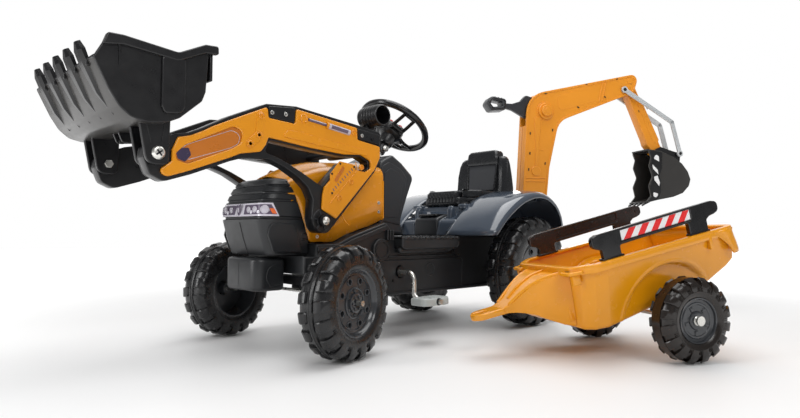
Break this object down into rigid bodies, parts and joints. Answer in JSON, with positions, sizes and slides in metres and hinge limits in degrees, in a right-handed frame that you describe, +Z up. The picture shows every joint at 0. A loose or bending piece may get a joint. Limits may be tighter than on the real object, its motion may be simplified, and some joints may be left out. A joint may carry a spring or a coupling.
{
  "type": "ride_on_digger",
  "caption": "Child's pedal-driven ride-on digger with a front loader, a swinging rear excavator and a small two-wheeled trailer beside it",
  "frame": {"origin": "on the ground, under the middle of the rear axle", "axes": "+X towards the front bucket, +Y towards the rider's left, +Z up"},
  "size_m": [2.1524, 1.1006, 0.8761],
  "materials": {
    "black_plastic": "satin",
    "orange_plastic": "gloss",
    "grey_plastic": "satin",
    "slate_plastic": "gloss",
    "seat_plastic": "satin",
    "tyre_plastic": "satin",
    "rim_plastic": "satin",
    "zinc_steel": "zinc plated",
    "black_steel": "satin",
    "red_plastic": "gloss",
    "light_grey_plastic": "satin",
    "tub_plastic": "gloss",
    "silver_plastic": "satin"
  },
  "bodies": {
    "chassis": {"chassis_shell": "black_plastic", "nose": "black_plastic", "headlight_band": "silver_plastic", "bumper_weight": "black_plastic", "bonnet": "orange_plastic", "dash_console": "grey_plastic", "fender_unit": "slate_plastic", "front_axle_beam": "black_plastic", "loader_pivot_tube": "black_steel", "bearing_bushes": "black_plastic", "drive_chain": "black_steel", "rear_bracket": "black_plastic"},
    "seat": {"seat": "seat_plastic"},
    "steering": {"steering_wheel": "black_plastic", "steering_column": "zinc_steel"},
    "horn_left": {"horn_button_left": "red_plastic"},
    "horn_right": {"horn_button_right": "red_plastic"},
    "knuckle_left": {"stub_axle_left": "zinc_steel"},
    "knuckle_right": {"stub_axle_right": "zinc_steel"},
    "tie_rod": {"tie_rod": "zinc_steel"},
    "drag_link": {"drag_link": "zinc_steel"},
    "front_wheel_left": {"front_tyre_left": "tyre_plastic", "front_rim_left": "rim_plastic"},
    "front_wheel_right": {"front_tyre_right": "tyre_plastic", "front_rim_right": "rim_plastic"},
    "rear_axle": {"rear_axle": "zinc_steel", "rear_rim_right": "rim_plastic", "rear_tyre_right": "tyre_plastic"},
    "rear_wheel_left": {"rear_rim_left": "rim_plastic", "rear_tyre_left": "tyre_plastic"},
    "crank": {"crank_shaft": "zinc_steel", "chainwheel": "black_steel"},
    "pedal_left": {"pedal_left": "light_grey_plastic"},
    "pedal_right": {"pedal_right": "light_grey_plastic"},
    "loader": {"loader_arm_left": "black_plastic", "loader_arm_right": "black_plastic", "arm_cover_left": "orange_plastic", "arm_cover_right": "orange_plastic", "loader_cross_tubes": "zinc_steel"},
    "lever": {"loader_lever": "black_plastic"},
    "loader_bucket": {"loader_bucket": "black_plastic", "bucket_pivot_bolts": "zinc_steel"},
    "bucket_rod": {"bucket_rod": "zinc_steel"},
    "boom": {"boom_shell_left": "orange_plastic", "boom_shell_right": "orange_plastic", "boom_pins": "orange_plastic", "swing_socket": "black_plastic"},
    "handle": {"excavator_handle": "black_plastic"},
    "stick_rod": {"stick_rod": "zinc_steel"},
    "stick": {"excavator_stick": "orange_plastic"},
    "digger_bucket": {"excavator_bucket": "black_plastic"},
    "links": {"bucket_links": "light_grey_plastic"},
    "trailer": {"trailer_tub": "tub_plastic", "trailer_drawbar": "tub_plastic", "trailer_rails": "black_plastic", "trailer_axle": "zinc_steel"},
    "trailer_wheel_left": {"trailer_tyre_left": "tyre_plastic", "trailer_rim_left": "rim_plastic"},
    "trailer_wheel_right": {"trailer_tyre_right": "tyre_plastic", "trailer_rim_right": "rim_plastic"}
  },
  "joints": [
    {"name": "steer", "type": "hinge", "parent": "chassis", "child": "steering", "pos_m": [0.339, 0, 0.574], "axis": [-0.5707, 0, 0.8211], "range_deg": [-43.6, 16.4]},
    {"name": "knuckle_left_pivot", "type": "hinge", "parent": "chassis", "child": "knuckle_left", "pos_m": [0.718, 0.19312, 0.16], "axis": [0, 0, 1], "range_deg": [-43.6, 16.4]},
    {"name": "knuckle_right_pivot", "type": "hinge", "parent": "chassis", "child": "knuckle_right", "pos_m": [0.718, -0.19312, 0.16], "axis": [0, 0, 1], "range_deg": [-43.6, 16.4]},
    {"name": "tie_rod_pivot", "type": "hinge", "parent": "knuckle_left", "child": "tie_rod", "pos_m": [0.67912, 0.18372, 0.13], "axis": [0, 0, 1], "range_deg": [-16.4, 43.6]},
    {"name": "drag_link_pivot", "type": "hinge", "parent": "knuckle_left", "child": "drag_link", "pos_m": [0.72858, 0.14938, 0.144], "axis": [0, 0, 1], "range_deg": [-16.4, 43.6]},
    {"name": "front_wheel_left_spin", "type": "hinge", "parent": "knuckle_left", "child": "front_wheel_left", "pos_m": [0.70859, 0.232, 0.1215], "axis": [-0.2351, 0.972, 0], "continuous": true},
    {"name": "front_wheel_right_spin", "type": "hinge", "parent": "knuckle_right", "child": "front_wheel_right", "pos_m": [0.72741, -0.232, 0.1215], "axis": [-0.2351, 0.972, 0], "continuous": true},
    {"name": "rear_axle_spin", "type": "hinge", "parent": "chassis", "child": "rear_axle", "pos_m": [0, 0, 0.1595], "axis": [0, 1, 0], "continuous": true},
    {"name": "rear_wheel_left_spin", "type": "hinge", "parent": "rear_axle", "child": "rear_wheel_left", "pos_m": [0, 0.222, 0.1595], "axis": [0, 1, 0], "continuous": true},
    {"name": "crank_spin", "type": "hinge", "parent": "chassis", "child": "crank", "pos_m": [0.436, 0, 0.169], "axis": [0, 1, 0], "continuous": true},
    {"name": "pedal_left_spin", "type": "hinge", "parent": "crank", "child": "pedal_left", "pos_m": [0.436, 0.226, 0.103], "axis": [0, 1, 0], "continuous": true},
    {"name": "pedal_right_spin", "type": "hinge", "parent": "crank", "child": "pedal_right", "pos_m": [0.436, -0.226, 0.235], "axis": [0, 1, 0], "continuous": true},
    {"name": "loader_lift", "type": "hinge", "parent": "chassis", "child": "loader", "pos_m": [0.7, 0, 0.295], "axis": [0, 1, 0], "range_deg": [0, 45]},
    {"name": "lever_tilt", "type": "hinge", "parent": "loader", "child": "lever", "pos_m": [0.56, 0, 0.47], "axis": [0, 1, 0], "range_deg": [-5, 50]},
    {"name": "loader_bucket_tilt", "type": "hinge", "parent": "loader", "child": "loader_bucket", "pos_m": [1.078, 0, 0.41], "axis": [0, 1, 0], "range_deg": [-5, 50]},
    {"name": "bucket_rod_pivot", "type": "hinge", "parent": "lever", "child": "bucket_rod", "pos_m": [0.566, 0, 0.508], "axis": [0, 1, 0], "range_deg": [-50, 5]},
    {"name": "excavator_swing", "type": "hinge", "parent": "chassis", "child": "boom", "pos_m": [-0.34, 0, 0.3], "axis": [0, 0, 1], "range_deg": [-30, 90]},
    {"name": "handle_tilt", "type": "hinge", "parent": "boom", "child": "handle", "pos_m": [-0.39456, 0.0315, 0.717], "axis": [-0.5, -0.866, 0], "range_deg": [-16, 16]},
    {"name": "stick_tilt", "type": "hinge", "parent": "boom", "child": "stick", "pos_m": [-0.70633, 0.2115, 0.856], "axis": [-0.5, -0.866, 0], "range_deg": [-16, 16]},
    {"name": "stick_rod_pivot", "type": "hinge", "parent": "handle", "child": "stick_rod", "pos_m": [-0.3911, 0.0295, 0.728], "axis": [-0.5, -0.866, 0], "range_deg": [-16, 16]},
    {"name": "digger_bucket_tilt", "type": "hinge", "parent": "stick", "child": "digger_bucket", "pos_m": [-0.81545, 0.2745, 0.593], "axis": [-0.5, -0.866, 0], "range_deg": [-14, 14]},
    {"name": "link_tilt", "type": "hinge", "parent": "boom", "child": "links", "pos_m": [-0.68208, 0.1975, 0.818], "axis": [-0.5, -0.866, 0], "range_deg": [-20, 20]},
    {"name": "trailer_roll", "type": "slide", "parent": "chassis", "child": "trailer", "axis": [0.8862, -0.4633, 0], "range_m": [-0.3, 0.05]},
    {"name": "trailer_wheel_left_spin", "type": "hinge", "parent": "trailer", "child": "trailer_wheel_left", "pos_m": [0.20544, 0.75022, 0.09], "axis": [0.4633, 0.8862, 0], "continuous": true},
    {"name": "trailer_wheel_right_spin", "type": "hinge", "parent": "trailer", "child": "trailer_wheel_right", "pos_m": [0.05256, 0.45778, 0.09], "axis": [0.4633, 0.8862, 0], "continuous": true},
    {"name": "seat_slide", "type": "slide", "parent": "chassis", "child": "seat", "axis": [1, 0, 0], "range_m": [-0.04, 0.02]},
    {"name": "horn_left_press", "type": "slide", "parent": "steering", "child": "horn_left", "axis": [-0.5707, 0, 0.8211], "range_m": [-0.003, 0], "stiffness_N_per_m": 800},
    {"name": "horn_right_press", "type": "slide", "parent": "steering", "child": "horn_right", "axis": [-0.5707, 0, 0.8211], "range_m": [-0.003, 0], "stiffness_N_per_m": 800}
  ],
  "couplings": [
    {"joint": "knuckle_left_pivot", "follows": "steer", "ratio": 1},
    {"joint": "knuckle_right_pivot", "follows": "steer", "ratio": 1},
    {"joint": "tie_rod_pivot", "follows": "steer", "ratio": -1},
    {"joint": "drag_link_pivot", "follows": "steer", "ratio": -1},
    {"joint": "crank_spin", "follows": "rear_axle_spin", "ratio": 0.625},
    {"joint": "loader_bucket_tilt", "follows": "lever_tilt", "ratio": 1},
    {"joint": "bucket_rod_pivot", "follows": "lever_tilt", "ratio": -1},
    {"joint": "stick_tilt", "follows": "handle_tilt", "ratio": 1},
    {"joint": "stick_rod_pivot", "follows": "handle_tilt", "ratio": -1},
    {"joint": "digger_bucket_tilt", "follows": "handle_tilt", "ratio": 0.84},
    {"joint": "link_tilt", "follows": "handle_tilt", "ratio": 1.19}
  ]
}
